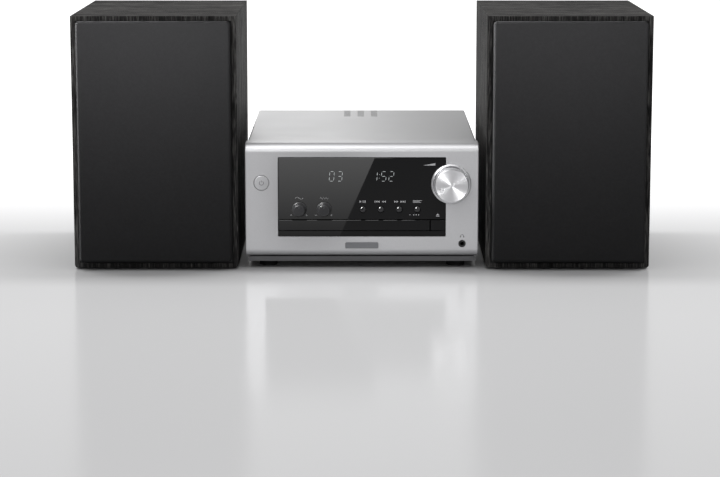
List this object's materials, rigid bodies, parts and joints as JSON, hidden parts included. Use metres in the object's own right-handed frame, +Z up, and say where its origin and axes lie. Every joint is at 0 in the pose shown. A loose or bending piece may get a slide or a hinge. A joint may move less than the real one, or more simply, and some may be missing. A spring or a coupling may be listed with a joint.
{
  "type": "mini hifi system",
  "caption": "Small disc-playing hifi: a silver main unit with a dark window, round volume knob, tone knobs, buttons and a sliding disc tray, between two dark boxed speakers with cloth grilles.",
  "frame": {"origin": "on the standing surface, at the middle of the whole system's length and depth", "axes": "+X to the right as seen from the front, along the row of boxes; +Y towards the back; +Z up"},
  "size_m": [0.52, 0.289, 0.229],
  "materials": {
    "silver_moulding": "ABS moulding with satin silver paint",
    "silver_cover": "folded steel sheet with satin silver coating",
    "black_steel": "folded steel with black coating",
    "smoked_acrylic": "polished dark acrylic",
    "black_moulding": "fine-textured black ABS",
    "knob_black": "satin black moulded knob",
    "button_black": "polished black moulded button",
    "spun_aluminium": "spun and clear-lacquered aluminium",
    "badge_metal": "blank brushed plate",
    "rubber_foot": "moulded rubber",
    "circuit_board": "glass-epoxy board",
    "display_glass": "display tube glass",
    "zinc_steel": "zinc-plated steel",
    "socket_plastic": "black nylon",
    "nickel": "nickel-plated brass",
    "loader_plastic": "black moulded loader parts",
    "gear_plastic": "white acetal",
    "woodgrain_vinyl": "fibreboard wrapped in black wood-grain foil",
    "fibreboard": "black-painted fibreboard",
    "grille_cloth": "dark knitted polyester cloth",
    "cone_paper": "pulp paper cone",
    "surround_rubber": "rubber roll surround",
    "magnet_ferrite": "ferrite ring with steel plates",
    "basket_steel": "pressed steel, black"
  },
  "bodies": {
    "main_unit": {"chassis_base": "black_steel", "unit_feet": "rubber_foot", "top_cover": "silver_cover", "front_panel": "silver_moulding", "front_badge": "badge_metal", "display_window": "smoked_acrylic", "window_sill": "black_moulding", "display_module": "display_glass", "front_board": "circuit_board", "volume_ring": "spun_aluminium", "loader_motor": "zinc_steel", "loader_frame": "loader_plastic", "main_board": "circuit_board", "power_transformer": "zinc_steel", "rear_panel": "black_steel", "ac_inlet": "socket_plastic", "speaker_sockets": "socket_plastic", "antenna_socket": "nickel", "headphone_jack": "socket_plastic", "case_screws": "zinc_steel"},
    "volume_knob": {"volume_knob": "spun_aluminium"},
    "bass_knob": {"bass_knob": "knob_black"},
    "treble_knob": {"treble_knob": "knob_black"},
    "power_button": {"power_button": "silver_moulding"},
    "play_button": {"play_button": "button_black"},
    "skip_back_button": {"skip_back_button": "button_black"},
    "skip_forward_button": {"skip_forward_button": "button_black"},
    "selector_button": {"selector_button": "button_black"},
    "eject_button": {"eject_button": "smoked_acrylic"},
    "disc_tray": {"disc_tray": "loader_plastic", "tray_front": "smoked_acrylic"},
    "tray_gear": {"tray_gear": "gear_plastic"},
    "traverse": {"traverse": "zinc_steel"},
    "turntable": {"turntable": "black_moulding"},
    "pickup_sled": {"pickup_sled": "loader_plastic"},
    "disc_clamper": {"disc_clamper": "gear_plastic"},
    "left_speaker": {"left_cabinet_feet": "rubber_foot", "left_cabinet": "woodgrain_vinyl", "left_baffle": "fibreboard", "left_woofer_frame": "basket_steel", "left_woofer_magnet": "magnet_ferrite", "left_woofer_surround": "surround_rubber", "left_tweeter": "black_moulding", "left_port_tube": "black_moulding", "left_lead_gland": "socket_plastic"},
    "left_grille": {"left_grille_frame": "black_moulding", "left_grille_cloth": "grille_cloth"},
    "left_woofer_cone": {"left_woofer_cone": "cone_paper"},
    "right_speaker": {"right_cabinet_feet": "rubber_foot", "right_cabinet": "woodgrain_vinyl", "right_baffle": "fibreboard", "right_woofer_frame": "basket_steel", "right_woofer_magnet": "magnet_ferrite", "right_woofer_surround": "surround_rubber", "right_tweeter": "black_moulding", "right_port_tube": "black_moulding", "right_lead_gland": "socket_plastic"},
    "right_grille": {"right_grille_frame": "black_moulding", "right_grille_cloth": "grille_cloth"},
    "right_woofer_cone": {"right_woofer_cone": "cone_paper"}
  },
  "joints": [
    {"name": "volume_turn", "type": "hinge", "parent": "main_unit", "child": "volume_knob", "pos_m": [0.0805, -0.1305, 0.0774], "axis": [0, 1, 0], "continuous": true},
    {"name": "bass_turn", "type": "hinge", "parent": "main_unit", "child": "bass_knob", "pos_m": [-0.0567, -0.1305, 0.0541], "axis": [0, 1, 0], "range_deg": [-140, 140]},
    {"name": "treble_turn", "type": "hinge", "parent": "main_unit", "child": "treble_knob", "pos_m": [-0.0342, -0.1305, 0.0541], "axis": [0, 1, 0], "range_deg": [-140, 140]},
    {"name": "power_press", "type": "slide", "parent": "main_unit", "child": "power_button", "axis": [0, 1, 0], "range_m": [0, 0.0008], "stiffness_N_per_m": 500},
    {"name": "play_press", "type": "slide", "parent": "main_unit", "child": "play_button", "axis": [0, 1, 0], "range_m": [0, 0.0008], "stiffness_N_per_m": 500},
    {"name": "skip_back_press", "type": "slide", "parent": "main_unit", "child": "skip_back_button", "axis": [0, 1, 0], "range_m": [0, 0.0008], "stiffness_N_per_m": 500},
    {"name": "skip_forward_press", "type": "slide", "parent": "main_unit", "child": "skip_forward_button", "axis": [0, 1, 0], "range_m": [0, 0.0008], "stiffness_N_per_m": 500},
    {"name": "selector_press", "type": "slide", "parent": "main_unit", "child": "selector_button", "axis": [0, 1, 0], "range_m": [0, 0.0008], "stiffness_N_per_m": 500},
    {"name": "eject_press", "type": "slide", "parent": "main_unit", "child": "eject_button", "axis": [0, 1, 0], "range_m": [0, 0.0008], "stiffness_N_per_m": 500},
    {"name": "tray_slide", "type": "slide", "parent": "main_unit", "child": "disc_tray", "axis": [0, -1, 0], "range_m": [0, 0.128]},
    {"name": "tray_gear_turn", "type": "hinge", "parent": "main_unit", "child": "tray_gear", "pos_m": [0.0368, -0.1045, 0.037], "axis": [0, 0, 1], "range_deg": [-612, 0]},
    {"name": "traverse_drop", "type": "hinge", "parent": "main_unit", "child": "traverse", "pos_m": [-0.0072, 0.0175, 0.025], "axis": [1, 0, 0], "range_deg": [0, 3.2]},
    {"name": "turntable_spin", "type": "hinge", "parent": "traverse", "child": "turntable", "pos_m": [-0.0072, -0.0565, 0.03], "axis": [0, 0, 1], "continuous": true},
    {"name": "clamper_spin", "type": "hinge", "parent": "main_unit", "child": "disc_clamper", "pos_m": [-0.0072, -0.0565, 0.048], "axis": [0, 0, 1], "continuous": true},
    {"name": "sled_travel", "type": "slide", "parent": "traverse", "child": "pickup_sled", "axis": [0, 1, 0], "range_m": [0, 0.032]},
    {"name": "left_speaker_apart", "type": "slide", "parent": "main_unit", "child": "left_speaker", "axis": [-1, 0, 0], "range_m": [0, 0.15]},
    {"name": "left_grille_pull", "type": "slide", "parent": "left_speaker", "child": "left_grille", "axis": [0, -1, 0], "range_m": [0, 0.03]},
    {"name": "left_cone_stroke", "type": "slide", "parent": "left_speaker", "child": "left_woofer_cone", "axis": [0, 1, 0], "range_m": [-0.0015, 0.0015], "stiffness_N_per_m": 1500},
    {"name": "right_speaker_apart", "type": "slide", "parent": "main_unit", "child": "right_speaker", "axis": [1, 0, 0], "range_m": [0, 0.15]},
    {"name": "right_grille_pull", "type": "slide", "parent": "right_speaker", "child": "right_grille", "axis": [0, -1, 0], "range_m": [0, 0.03]},
    {"name": "right_cone_stroke", "type": "slide", "parent": "right_speaker", "child": "right_woofer_cone", "axis": [0, 1, 0], "range_m": [-0.0015, 0.0015], "stiffness_N_per_m": 1500}
  ],
  "couplings": [
    {"joint": "tray_gear_turn", "follows": "tray_slide", "rad_per_m": -83.333},
    {"joint": "traverse_drop", "follows": "tray_slide", "rad_per_m": 0.41},
    {"joint": "clamper_spin", "follows": "turntable_spin", "ratio": 1}
  ]
}
